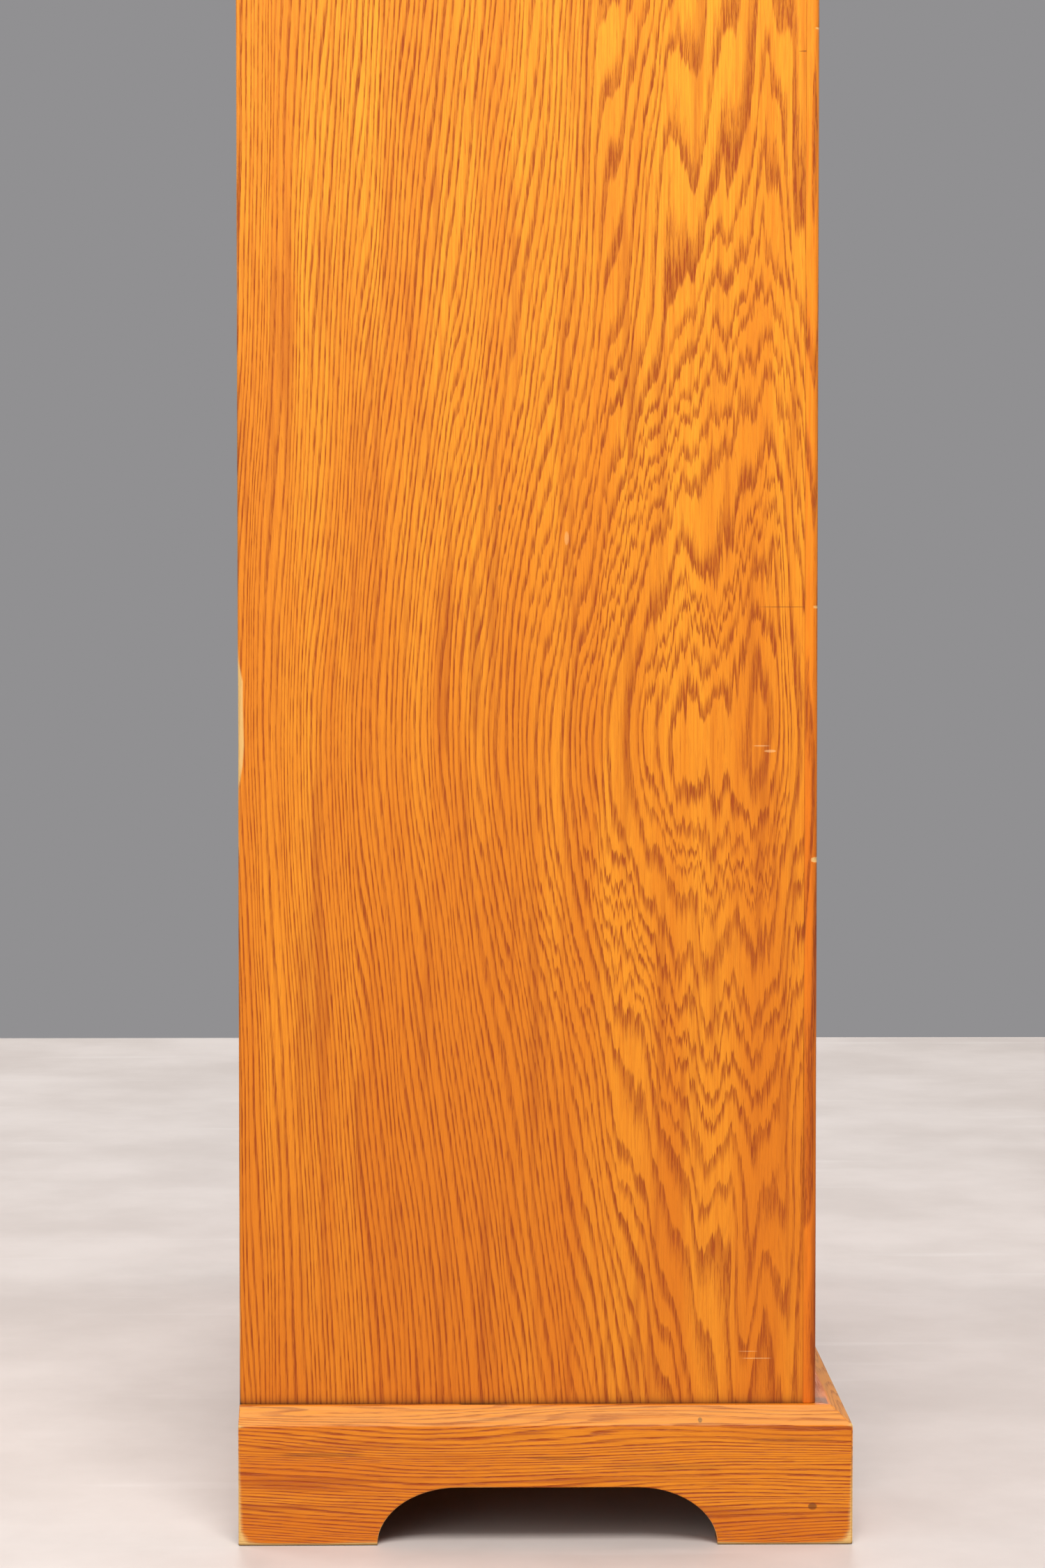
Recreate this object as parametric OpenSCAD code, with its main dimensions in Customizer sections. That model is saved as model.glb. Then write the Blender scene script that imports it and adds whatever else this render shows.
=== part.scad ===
// Barrister bookcase in oak: one tall case on a mitred plinth, four compartments one above the
// other, and in each a glazed door that lifts at its foot and runs back under the board above.
// Millimetres. +Z is up, the doors face -Y, and the origin is on the floor under the middle of the
// outer box.

/* [Case] */
// Width across the two side panels
case_w = 890; // [700:5:1200]
// Depth of the case, from the front of the lippings to the back
case_d = 330; // [316:2:440]
// Thickness of the side panels
side_t = 20; // [18:1:26]
// Depth of the solid lipping on the front edges
lip_d = 7.5; // [4:0.5:8]
// Clear height of a compartment
bay_h = 318; // [260:1:325]
// Thickness of the shelves, the bottom board and the carcass top
shelf_t = 20; // [18:1:28]
// How far the board ends are let into the side panels
housing_d = 6; // [3:0.5:8]

/* [Plinth] */
// Height of the plinth
plinth_h = 78; // [70:1:130]
// Thickness of the plinth boards
plinth_t = 22; // [19:1:30]
// Width of the chamfer on the plinth's top edge
chamfer_w = 11.5; // [6:0.5:14]
// Height of the chamfer on the plinth's top edge
chamfer_h = 9.5; // [6:0.5:14]
// Flat ledge between the chamfer and the front of the case
ledge_front = 8.5; // [4:0.5:12]
// Flat ledge between the chamfer and the side of the case
ledge_side = 3.5; // [2:0.5:4.5]
// Rise of the arched cut-outs
arch_h = 33; // [20:1:50]
// Length of the curved end of an arch
arch_curve = 46; // [25:1:60]
// Length of the rear foot of a side board
foot_back = 79; // [55:1:100]
// Length of the front foot of a side board
foot_front = 77; // [55:1:100]
// Length of each foot of the front board
foot_wide = 112; // [80:1:160]

/* [Top] */
// Thickness of the top
top_t = 22; // [20:1:30]
// Width of the solid edging round the top panel
edging_w = 42; // [36:1:60]
// Chamfer under the outer edge of the top
top_chamfer = 9; // [4:0.5:12]

/* [Back] */
// Thickness of the back panel
back_t = 6; // [4:0.5:9]
// How far the back panel laps onto each side panel
back_lap = 10; // [8:0.5:12]

/* [Doors] */
// How far the doors stand behind the front of the case
door_set = 20; // [18:1:24]
// Thickness of the door frames
door_t = 20; // [18:0.5:20]
// Width of the stiles
stile_w = 42; // [38:1:60]
// Height of the top rail
rail_top_h = 42; // [38:1:60]
// Height of the bottom rail
rail_bottom_h = 44; // [40:1:60]
// Gap between a door and each side panel
door_side_gap = 2; // [1.5:0.25:3]
// Gap above and below a closed door
door_gap = 1.5; // [1.5:0.25:2.5]
// Radius of the top front edge, which turns under the ceiling
edge_round = 8; // [7:0.5:9]
// Width of the glazing rebate
rebate_w = 8; // [6:0.5:10]
// Thickness of the glass
glass_t = 3; // [2:0.5:4]
// Thickness of the beads behind the glass
bead_t = 6; // [4:0.5:6]
// Length of the tenons on the rails
tenon_l = 20; // [12:1:22]
// Thickness of the tenons
tenon_t = 6; // [4:0.5:7]

/* [Door hardware] */
// Height of the pivots below the door's top edge
pivot_drop = 12; // [11:0.5:14]
// Diameter of a pivot stud's shaft
shaft_d = 6; // [4:0.5:7]
// Diameter of a pivot stud's head, which runs in the groove
head_d = 14; // [10:0.5:16]
// Diameter of the bush in the stile
bush_d = 10; // [9:0.5:11]
// Length of the bush
bush_l = 18; // [10:0.5:19]
// Depth of the grooves in the side panels
groove_d = 9; // [7:0.5:11]
// Largest diameter of a knob
knob_d = 22; // [16:1:26]
// How far a knob stands out from the door
knob_out = 17; // [13:0.5:18]
// Height of the knobs above the door's bottom edge
knob_up = 22; // [18:1:24]
// Distance of a knob from the door's end
knob_in = 128; // [90:1:200]

/* [Hidden] */
BAYS = 4;
PARTS = [
    "stile_left", "stile_right", "rail_top", "rail_bottom",
    "glass", "beads", "knobs", "bushes", "pivots",
];
$fn = 48;

OAK = [0.76, 0.47, 0.18];
OAK_RED = [0.62, 0.33, 0.14];
OAK_PLAIN = [0.70, 0.48, 0.26];
BRASS = [0.80, 0.62, 0.28];
STEEL = [0.55, 0.55, 0.56];
GLASS = [0.75, 0.86, 0.84, 0.35];

// Clearances
RUN_GAP = 0.3;    // round a stud's head in its groove
SHAFT_GAP = 0.05; // round a stud's shaft in its bush
PRESS_GAP = 0.02; // round a bush or a screw in wood
END_GAP = 1;      // at the blind end of a hole, a mortise or a groove
GLASS_GAP = 1;    // round the edge of the glass in its rebate
MITRE_GAP = 0.1;  // between neighbouring beads
OVER = 1;         // how far a cutter runs past a face

// Places
side_proj = ledge_side + chamfer_w;
front_proj = ledge_front + chamfer_w;
outer_w = case_w + 2 * side_proj;
outer_d = case_d + front_proj;
back_y = outer_d / 2;
plinth_y = -outer_d / 2;
front_y = plinth_y + front_proj;
outer_x = outer_w / 2;
side_x = case_w / 2;
inner_x = side_x - side_t;
panel_y = front_y + lip_d;
back_in_y = back_y - back_t;
pitch = bay_h + shelf_t;
case_h = shelf_t + BAYS * pitch;
case_top_z = plinth_h + case_h;

door_w = 2 * (inner_x - door_side_gap);
door_h = bay_h - 2 * door_gap;
door_x = door_w / 2;
light_w = door_w - 2 * stile_w;
light_low = rail_bottom_h;
light_high = door_h - rail_top_h;
shoulder = door_t - glass_t - bead_t;
door_y = front_y + door_set;
pivot_y = door_y + door_t / 2;
mortise_y = (shoulder - tenon_t) / 2;

function board_z(n) = plinth_h + n * pitch;
function door_z(bay) = board_z(bay - 1) + shelf_t + door_gap;
function pivot_z(bay) = door_z(bay) + door_h - pivot_drop;

// ---- Shapes that repeat ----

// Draws its children on the right, or their mirror image on the left.
module on_side(right) {
    mirror([right ? 0 : 1, 0, 0]) children();
}

// Carries a section drawn in (y, z) along +X.
module along_x(length) {
    rotate([90, 0, 90]) linear_extrude(length) children();
}

// A countersunk wood screw along +Z, its head at z = 0. gap makes the hole for it.
SCREW_D = 4;
SCREW_HEAD_D = 8;
module wood_screw(length, gap = 0) {
    cone = (SCREW_HEAD_D - SCREW_D) / 2;
    cylinder(d1 = SCREW_HEAD_D + 2 * gap, d2 = SCREW_D + 2 * gap, h = cone);
    cylinder(d = SCREW_D + 2 * gap, h = length + gap);
}

// ---- Case ----

// Grooves for the studs, open at the back so that a door goes in before the back panel.
module pivot_grooves() {
    groove_r = head_d / 2 + RUN_GAP;
    for (bay = [1:BAYS]) translate([inner_x - OVER, pivot_y, pivot_z(bay)]) {
        rotate([0, 90, 0]) cylinder(r = groove_r, h = groove_d + OVER);
        translate([0, 0, -groove_r]) cube([groove_d + OVER, case_d, 2 * groove_r]);
    }
}

back_screw_l = back_t + 18;
module back_screw_set(gap = 0) {
    screw_x = inner_x + back_lap / 2;
    for (bay = [1:BAYS], share = [0.25, 0.7], x = [-screw_x, screw_x])
        translate([x, back_y, door_z(bay) + share * bay_h]) rotate([90, 0, 0])
            wood_screw(back_screw_l, gap);
    for (n = [0, BAYS], x = [-0.5, 0, 0.5])
        translate([x * inner_x, back_y, board_z(n) + shelf_t / 2]) rotate([90, 0, 0])
            wood_screw(back_screw_l, gap);
}

module side_panel(right) {
    color(OAK) difference() {
        on_side(right) difference() {
            translate([inner_x, panel_y, plinth_h]) cube([side_t, case_d - lip_d, case_h]);
            for (n = [0:BAYS]) {
                below = n == 0 ? OVER : 0;
                above = n == BAYS ? OVER : 0;
                translate([inner_x - OVER, panel_y - OVER, board_z(n) - below])
                    cube([housing_d + OVER, case_d, shelf_t + below + above]);
            }
            translate([inner_x - OVER, back_in_y, plinth_h - OVER])
                cube([back_lap + OVER, back_t + OVER, case_h + 2 * OVER]);
            pivot_grooves();
        }
        back_screw_set(PRESS_GAP);
    }
}

module lipping(right) {
    color(OAK_RED) on_side(right) translate([inner_x, front_y, plinth_h])
        cube([side_t, lip_d, case_h]);
}

module shelf_lippings() {
    color(OAK_RED) for (n = [0:BAYS])
        translate([-inner_x, front_y, board_z(n)]) cube([2 * inner_x, lip_d, shelf_t]);
}

// One board across the case, its ends in the side panels' housings.
module case_board(n) {
    translate([-inner_x - housing_d, panel_y, board_z(n)])
        cube([2 * (inner_x + housing_d), back_in_y - panel_y, shelf_t]);
}

module shelf(n) {
    color(OAK) case_board(n);
}

module bottom_board() {
    color(OAK) difference() {
        case_board(0);
        plinth_screw_set(PRESS_GAP);
        back_screw_set(PRESS_GAP);
    }
}

module carcass_top() {
    color(OAK) difference() {
        case_board(BAYS);
        top_screw_set(PRESS_GAP);
        back_screw_set(PRESS_GAP);
    }
}

module back_panel() {
    color(OAK_PLAIN) difference() {
        translate([-inner_x - back_lap, back_in_y, plinth_h])
            cube([2 * (inner_x + back_lap), back_t, case_h]);
        back_screw_set(PRESS_GAP);
    }
}

module back_screws() {
    color(BRASS) back_screw_set();
}

// Two blocks on each board stop the door's foot.
STOP_SIZE = [32, 12, 10];
STOP_GAP = 0.5;
module door_stops() {
    stop_x = inner_x - 90;
    color(OAK_PLAIN) for (bay = [1:BAYS], x = [-stop_x, stop_x])
        translate([x - STOP_SIZE.x / 2, door_y + door_t + STOP_GAP, board_z(bay - 1) + shelf_t])
            cube(STOP_SIZE);
}

// ---- Top ----

top_screw_l = shelf_t + 0.6 * top_t;
module top_screw_set(gap = 0) {
    screw_y = case_d / 2 - 60;
    middle_y = front_y + case_d / 2;
    for (x = [-1, 0, 1], y = [-1, 1])
        translate([x * (inner_x - 70), middle_y + y * screw_y, board_z(BAYS)])
            wood_screw(top_screw_l, gap);
}

// Section of the top's edging, its outer face at y = 0 and its chamfer below.
module edging_section() {
    polygon([[top_chamfer, 0], [edging_w, 0], [edging_w, top_t], [0, top_t], [0, top_chamfer]]);
}

module top_panel() {
    color(OAK) difference() {
        translate([edging_w - outer_x, plinth_y + edging_w, case_top_z])
            cube([2 * (outer_x - edging_w), outer_d - edging_w, top_t]);
        top_screw_set(PRESS_GAP);
    }
}

module top_edge_front() {
    w = edging_w;
    color(OAK_RED) intersection() {
        translate([-outer_x, plinth_y, case_top_z]) along_x(outer_w) edging_section();
        translate([0, plinth_y, case_top_z - OVER]) linear_extrude(top_t + 2 * OVER)
            polygon([[-outer_x, 0], [outer_x, 0], [outer_x - w, w], [w - outer_x, w]]);
    }
}

module top_edge_side(right) {
    w = edging_w;
    color(OAK_RED) on_side(right) intersection() {
        translate([outer_x, -plinth_y, case_top_z]) mirror([1, 0, 0])
            rotate([90, 0, 0]) linear_extrude(outer_d) edging_section();
        translate([outer_x, plinth_y, case_top_z - OVER]) linear_extrude(top_t + 2 * OVER)
            polygon([[0, 0], [0, outer_d], [-w, outer_d], [-w, w]]);
    }
}

module top_screws() {
    color(STEEL) top_screw_set();
}

// ---- Plinth ----

// Section of a plinth board, its outer face at y = 0 and its chamfer above.
module plinth_section() {
    polygon([[0, 0], [plinth_t, 0], [plinth_t, plinth_h], [chamfer_w, plinth_h],
        [0, plinth_h - chamfer_h]]);
}

// Outline of a cut-out from x = start to x = end, flat on top and a quarter of an ellipse at each end.
ARCH_STEPS = 14;
module arch_outline(start, end) {
    left = [for (i = [0:ARCH_STEPS]) let (a = 90 * i / ARCH_STEPS)
        [start + arch_curve * (1 - cos(a)), arch_h * sin(a)]];
    right = [for (i = [ARCH_STEPS:-1:0]) let (a = 90 * i / ARCH_STEPS)
        [end - arch_curve * (1 - cos(a)), arch_h * sin(a)]];
    polygon(concat([[start, -OVER]], left, right, [[end, -OVER]]));
}

module plinth_front() {
    w = plinth_t;
    color(OAK) difference() {
        intersection() {
            translate([-outer_x, plinth_y, 0]) along_x(outer_w) plinth_section();
            translate([0, plinth_y, -OVER]) linear_extrude(plinth_h + 2 * OVER)
                polygon([[-outer_x, 0], [outer_x, 0], [outer_x - w, w], [w - outer_x, w]]);
        }
        translate([0, plinth_y + plinth_t + OVER, 0]) rotate([90, 0, 0])
            linear_extrude(plinth_t + 2 * OVER) arch_outline(foot_wide - outer_x, outer_x - foot_wide);
    }
}

module plinth_side(right) {
    w = plinth_t;
    color(OAK) on_side(right) difference() {
        intersection() {
            translate([outer_x, -plinth_y, 0]) mirror([1, 0, 0])
                rotate([90, 0, 0]) linear_extrude(outer_d) plinth_section();
            translate([outer_x, plinth_y, -OVER]) linear_extrude(plinth_h + 2 * OVER)
                polygon([[0, 0], [0, outer_d], [-w, outer_d], [-w, w]]);
        }
        translate([outer_x - plinth_t - OVER, 0, 0]) along_x(plinth_t + 2 * OVER)
            arch_outline(plinth_y + foot_front, back_y - foot_back);
    }
}

module plinth_back() {
    color(OAK_PLAIN) translate([plinth_t - outer_x, back_y - plinth_t, 0])
        cube([2 * (outer_x - plinth_t), plinth_t, plinth_h]);
}

// Places of the blocks inside the plinth: the four corners, and the middles of the long boards.
BLOCK = 40;
block_h = plinth_h - arch_h - 7;
module at_blocks() {
    block_x = outer_x - plinth_t - BLOCK / 2;
    block_front = plinth_y + plinth_t + BLOCK / 2;
    block_back = back_y - plinth_t - BLOCK / 2;
    for (x = [-block_x, 0, block_x], y = [block_front, block_back])
        translate([x, y, plinth_h - block_h]) children();
}

plinth_screw_l = block_h + 0.7 * shelf_t;
module plinth_screw_set(gap = 0) {
    at_blocks() wood_screw(plinth_screw_l, gap);
}

module corner_blocks() {
    color(OAK_PLAIN) difference() {
        at_blocks() translate([-BLOCK / 2, -BLOCK / 2, 0]) cube([BLOCK, BLOCK, block_h]);
        plinth_screw_set(PRESS_GAP);
    }
}

module plinth_screws() {
    color(STEEL) plinth_screw_set();
}

// ---- Doors: each module draws its piece with the door's foot at z = 0 and its face at y = 0 ----

// Section of the whole door edge, front face at y = 0, its top front edge rounded.
module door_section(low, high) {
    difference() {
        translate([0, low]) square([door_t, high - low]);
        if (high == door_h) translate([-OVER, door_h - edge_round]) difference() {
            square([edge_round + OVER, edge_round + OVER]);
            translate([edge_round + OVER, 0]) circle(r = edge_round);
        }
    }
}

module tenons(low, high, gap = 0) {
    middle_x = (light_w + tenon_l + gap) / 2;
    for (x = [-middle_x, middle_x])
        translate([x, mortise_y + tenon_t / 2, (low + high) / 2])
            cube([tenon_l + gap, tenon_t, high - low], center = true);
}

TENON_TRIM = 8; // Shoulder above and below a tenon
module top_tenons(gap = 0) {
    tenons(light_high + rebate_w, door_h - TENON_TRIM, gap);
}

module bottom_tenons(gap = 0) {
    tenons(TENON_TRIM, light_low - rebate_w, gap);
}

// The room for glass and beads, cut from the back of the frame.
module glazing_rebate() {
    translate([-light_w / 2 - rebate_w, shoulder, light_low - rebate_w])
        cube([light_w + 2 * rebate_w, door_t, light_high - light_low + 2 * rebate_w]);
}

module stile(right) {
    color(OAK) on_side(right) difference() {
        translate([door_x - stile_w, 0, 0]) along_x(stile_w) door_section(0, door_h);
        glazing_rebate();
        top_tenons(END_GAP);
        bottom_tenons(END_GAP);
        translate([door_x - bush_l - END_GAP, door_t / 2, door_h - pivot_drop]) rotate([0, 90, 0])
            cylinder(d = bush_d + 2 * PRESS_GAP, h = bush_l + END_GAP + OVER);
    }
}

module rail_top() {
    color(OAK) difference() {
        union() {
            translate([-light_w / 2, 0, 0]) along_x(light_w) door_section(light_high, door_h);
            top_tenons();
        }
        glazing_rebate();
    }
}

SPIGOT_D = 6;
SPIGOT_L = 12;
module at_knobs() {
    for (x = [knob_in - door_x, door_x - knob_in])
        translate([x, 0, knob_up]) rotate([90, 0, 0]) children();
}

module rail_bottom() {
    color(OAK) difference() {
        union() {
            translate([-light_w / 2, 0, 0]) along_x(light_w) door_section(0, light_low);
            bottom_tenons();
        }
        glazing_rebate();
        at_knobs() translate([0, 0, -SPIGOT_L - END_GAP])
            cylinder(d = SPIGOT_D + 2 * PRESS_GAP, h = SPIGOT_L + END_GAP + OVER);
    }
}

module glass() {
    w = light_w + 2 * (rebate_w - GLASS_GAP);
    h = light_high - light_low + 2 * (rebate_w - GLASS_GAP);
    color(GLASS) translate([-w / 2, shoulder, light_low - rebate_w + GLASS_GAP]) cube([w, glass_t, h]);
}

// Outline of one mitred bead of a given length, its outer edge at y = 0.
module bead_outline(length) {
    half = length / 2 - MITRE_GAP;
    polygon([[-half, 0], [half, 0], [half - rebate_w, rebate_w], [rebate_w - half, rebate_w]]);
}

module beads() {
    w = light_w + 2 * rebate_w;
    h = light_high - light_low + 2 * rebate_w;
    color(OAK_RED) translate([0, door_t, (light_low + light_high) / 2]) rotate([90, 0, 0])
        linear_extrude(bead_t) {
            for (turn = [0, 180]) rotate(turn) translate([0, -h / 2]) bead_outline(w);
            for (turn = [90, 270]) rotate(turn) translate([0, -w / 2]) bead_outline(h);
        }
}

// A turned knob with a collar, a waist and a domed head, and a spigot into the rail.
module knobs() {
    r = knob_d / 2;
    dome = [for (a = [0:15:90]) [r * cos(a), knob_out - r / 2 + r / 2 * sin(a)]];
    color(BRASS) at_knobs() {
        rotate_extrude() polygon(concat(
            [[0, 0], [0.7 * r, 0], [0.7 * r, 1.5], [0.45 * r, 3], [0.4 * r, knob_out / 2 - 1]],
            [[r - 1, knob_out - r / 2 - 2]], dome, [[0, knob_out]]));
        translate([0, 0, -SPIGOT_L]) cylinder(d = SPIGOT_D, h = SPIGOT_L + OVER);
    }
}

module bushes() {
    color(BRASS) for (right = [true, false]) on_side(right)
        translate([door_x - bush_l, door_t / 2, door_h - pivot_drop]) rotate([0, 90, 0]) difference() {
            cylinder(d = bush_d, h = bush_l);
            translate([0, 0, -OVER]) cylinder(d = shaft_d + 2 * SHAFT_GAP, h = bush_l + 2 * OVER);
        }
}

// Studs whose shafts turn in the bushes and whose heads run in the grooves.
module pivots() {
    head_x = inner_x + STOP_GAP;
    head_l = groove_d - END_GAP - STOP_GAP;
    color(BRASS) for (right = [true, false]) on_side(right)
        translate([0, door_t / 2, door_h - pivot_drop]) rotate([0, 90, 0]) {
            translate([0, 0, door_x - bush_l]) cylinder(d = shaft_d, h = head_x - door_x + bush_l + OVER);
            translate([0, 0, head_x]) cylinder(d = head_d, h = head_l);
        }
}

module door_part(part) {
    if (part == "stile_left") stile(false);
    if (part == "stile_right") stile(true);
    if (part == "rail_top") rail_top();
    if (part == "rail_bottom") rail_bottom();
    if (part == "glass") glass();
    if (part == "beads") beads();
    if (part == "knobs") knobs();
    if (part == "bushes") bushes();
    if (part == "pivots") pivots();
}

side_panel(false);  // side_left
side_panel(true);  // side_right
lipping(false);  // lipping_left
lipping(true);  // lipping_right
shelf_lippings();
bottom_board();
shelf(1);  // shelf_1
shelf(2);  // shelf_2
shelf(3);  // shelf_3
carcass_top();
back_panel();
back_screws();
top_panel();
top_edge_front();
top_edge_side(false);  // top_edge_left
top_edge_side(true);  // top_edge_right
top_screws();
plinth_front();
plinth_side(false);  // plinth_left
plinth_side(true);  // plinth_right
plinth_back();
corner_blocks();
plinth_screws();
door_stops();
for (bay = [1:BAYS]) for (part = PARTS)
    translate([0, door_y, door_z(bay)]) door_part(part);
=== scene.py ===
import math

import bmesh
import bpy
import numpy as np
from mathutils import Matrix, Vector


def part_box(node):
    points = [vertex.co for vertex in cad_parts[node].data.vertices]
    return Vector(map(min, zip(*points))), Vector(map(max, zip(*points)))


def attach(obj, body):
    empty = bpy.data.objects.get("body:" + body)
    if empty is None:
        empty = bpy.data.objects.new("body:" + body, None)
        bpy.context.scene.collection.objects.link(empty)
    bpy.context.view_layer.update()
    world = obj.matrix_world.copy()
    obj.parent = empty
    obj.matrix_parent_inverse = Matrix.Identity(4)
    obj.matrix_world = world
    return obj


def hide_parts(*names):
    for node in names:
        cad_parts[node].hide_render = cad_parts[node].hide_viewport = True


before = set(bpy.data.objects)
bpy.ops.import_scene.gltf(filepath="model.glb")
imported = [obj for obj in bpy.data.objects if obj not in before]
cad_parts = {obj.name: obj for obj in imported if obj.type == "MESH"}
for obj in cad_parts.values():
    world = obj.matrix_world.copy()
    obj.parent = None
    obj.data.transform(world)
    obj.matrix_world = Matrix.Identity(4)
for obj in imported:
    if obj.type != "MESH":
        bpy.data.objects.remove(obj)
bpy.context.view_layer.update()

MM = 0.001


# ---- Studio ----
# A pale floor that ends in front of a plain grey background, one broad light on the case's left
# side and softer ones round it. The camera looks squarely at the left side, a little downwards.
LENS = 83.2
CAMERA_PLACE = (-2.5064, 0.0352, 0.5091)
CAMERA_PITCH = 2.106
CAMERA_YAW = -0.614
BACKGROUND = (0.283, 0.279, 0.287)
FLOOR_EDGE = 2.25
FLOOR_STRAIGHT = 0.9
FLOOR_DARK = (0.53, 0.465, 0.425, 1)
FLOOR_LIGHT = (0.63, 0.565, 0.525, 1)
FLOOR_SCUFF = (0.78, 0.74, 0.71, 1)

scene = bpy.context.scene
scene.view_settings.view_transform = "Standard"
camera = bpy.data.objects.new("camera", bpy.data.cameras.new("camera"))
camera.data.lens = LENS
camera.data.sensor_width = 36
camera.location = CAMERA_PLACE
camera.rotation_euler = (math.radians(90 - CAMERA_PITCH), 0, math.radians(CAMERA_YAW - 90))
scene.collection.objects.link(camera)
scene.camera = camera

world = bpy.data.worlds.new("studio")
world.use_nodes = True
world.node_tree.nodes["Background"].inputs["Color"].default_value = (*BACKGROUND, 1)
scene.world = world


def soft_light(name, place, target, size, power):
    """A square area light of a given side and power that faces its target."""
    light = bpy.data.objects.new(name, bpy.data.lights.new(name, "AREA"))
    light.data.size = size
    light.data.energy = power
    light.location = place
    facing = np.array(target, float) - np.array(place, float)
    turn = math.atan2(-facing[0], facing[1])
    tilt = math.atan2(np.hypot(facing[0], facing[1]), -facing[2])
    light.rotation_euler = (tilt, 0, turn)
    scene.collection.objects.link(light)


soft_light("key_light", (-2.2, -0.2, 3.0), (-0.5, 0, 1.0), 1.5, 112)
soft_light("fill_light", (-2.9, 1.2, 1.4), (-0.5, 0, 0.7), 1.8, 26)
soft_light("front_light", (1.1, -3.5, 2.6), (0.1, 0, 0.8), 1.8, 40)
soft_light("back_light", (1.2, 3.2, 2.2), (0, 0, 0.8), 1.8, 55)
soft_light("right_light", (3.2, 0.1, 2.2), (0.4, 0, 0.8), 1.8, 52)


class Wire:
    """A value on its way through a material. Arithmetic on it adds Math nodes."""

    def __init__(self, finish, socket):
        self.finish, self.socket = finish, socket

    def sum(self, operation, first, second):
        """The Math node for one operation on two values, wires or numbers."""
        return self.finish.node("Math", {"operation": operation}, {0: first, 1: second})

    def __add__(self, other):
        return self.sum("ADD", self, other)

    def __sub__(self, other):
        return self.sum("SUBTRACT", self, other)

    def __rsub__(self, other):
        return self.sum("SUBTRACT", other, self)

    def __mul__(self, other):
        return self.sum("MULTIPLY", self, other)

    def __truediv__(self, other):
        return self.sum("DIVIDE", self, other)

    def __pow__(self, other):
        return self.sum("POWER", self, other)

    def ramp(self, low, high):
        """0 below low and 1 above high, smooth between; low may be the larger."""
        return self.finish.node(
            "MapRange", {"interpolation_type": "SMOOTHSTEP"}, {0: self, 1: low, 2: high}
        )

    __radd__ = __add__


class Finish:
    """A material under construction, and its Principled shader."""

    def __init__(self, name):
        self.material = bpy.data.materials.new(name)
        self.material.use_nodes = True
        self.tree = self.material.node_tree
        self.shader = self.tree.nodes["Principled BSDF"]

    def plug(self, node, socket, value):
        """Links a wire to a socket, or sets a plain value on it."""
        if isinstance(value, Wire):
            self.tree.links.new(value.socket, node.inputs[socket])
        else:
            node.inputs[socket].default_value = value

    def node(self, kind, settings=None, values=None, output=0):
        """Any node: its settings first, then its sockets, and one of its outputs as a wire."""
        made = self.tree.nodes.new("ShaderNode" + kind)
        for key, value in (settings or {}).items():
            setattr(made, key, value)
        for socket, value in (values or {}).items():
            self.plug(made, socket, value)
        return Wire(self, made.outputs[output])

    def set(self, **values):
        """Feeds the Principled shader, with _ for a space in a socket's name."""
        for key, value in values.items():
            self.plug(self.shader, key.replace("_", " "), value)

    def place(self):
        """Object coordinates as three wires, in millimetres."""
        point = self.node("TexCoord", output="Object")
        apart = self.node("SeparateXYZ", values={0: point}).socket.node
        return [Wire(self, socket) * 1000 for socket in apart.outputs]

    def noise(self, x, y, z, detail=2.0, roughness=0.5):
        """Noise from 0 to 1 at a point whose three parts are already scaled."""
        point = self.node("CombineXYZ", values={0: x, 1: y, 2: z})
        values = {"Vector": point, "Scale": 1.0, "Detail": detail, "Roughness": roughness}
        return self.node("TexNoise", {"noise_dimensions": "3D"}, values)

    def mix(self, share, first, second):
        """A colour between two, by a share from 0 to 1."""
        return self.node("Mix", {"data_type": "RGBA"}, {0: share, 6: first, 7: second}, output=2)

    def fall(self, amount):
        """e to the minus amount: 1 where the amount is 0, and less beyond."""
        return self.node("Math", {"operation": "POWER"}, {0: 2.718, 1: amount * -1.0})

    def bump(self, height, distance, strength):
        """A bump normal from a height."""
        values = {"Height": height, "Distance": distance, "Strength": strength}
        return self.node("Bump", values=values)


floor_finish = Finish("studio_floor")
fx, fy, fz = floor_finish.place()
mottle = floor_finish.noise(fx * 0.004, fy * 0.004, fz, 6, 0.6)
scuff = floor_finish.noise(fx * 0.02, fy * 0.0025, fz, 3).ramp(0.6, 0.75)
pale = floor_finish.mix(mottle.ramp(0.3, 0.7), FLOOR_DARK, FLOOR_LIGHT)
floor_finish.set(Base_Color=floor_finish.mix(scuff * 0.25, pale, FLOOR_SCUFF), Roughness=0.55)
floor_mesh = bpy.data.meshes.new("studio_floor")
rim = np.linspace(0, 2 * np.pi, 160, endpoint=False)
rim_x, rim_y = np.cos(rim), np.sin(rim)
corner = np.stack([np.sign(rim_x), np.sign(rim_y)], -1) * FLOOR_STRAIGHT
rim_points = corner + np.stack([rim_x, rim_y], -1) * (FLOOR_EDGE - FLOOR_STRAIGHT)
floor_mesh.from_pydata([(x, y, 0) for x, y in rim_points], [], [list(range(len(rim)))])
floor_mesh.materials.append(floor_finish.material)
floor = bpy.data.objects.new("studio_floor", floor_mesh)
scene.collection.objects.link(floor)


# ---- Side panels ----
# Each side is one tall veneered board, housed for the shelves and grooved inside for the doors'
# studs. The varnish has yellowed, the rear arris is knocked, and a flake of veneer is gone.
# Pale bare wood where wear shows through, also used as a painted highlight on the plinth's chamfer.
RAW_WOOD_AND_HIGHLIGHT = (0.70, 0.42, 0.14, 1)
# Dark brown for real dirt on edges and joints, and for painted shade inside the plinth.
GRIME_AND_SHADE = (0.045, 0.018, 0.006, 1)
# How far the grain's arches reach beside the heart line, and how far noise moves them: teeth and
# wander along the grain, drift across it. All in mm.
ARCH_REACH = 170
TEETH, WANDER, DRIFT = 48, 70, 20


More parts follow.
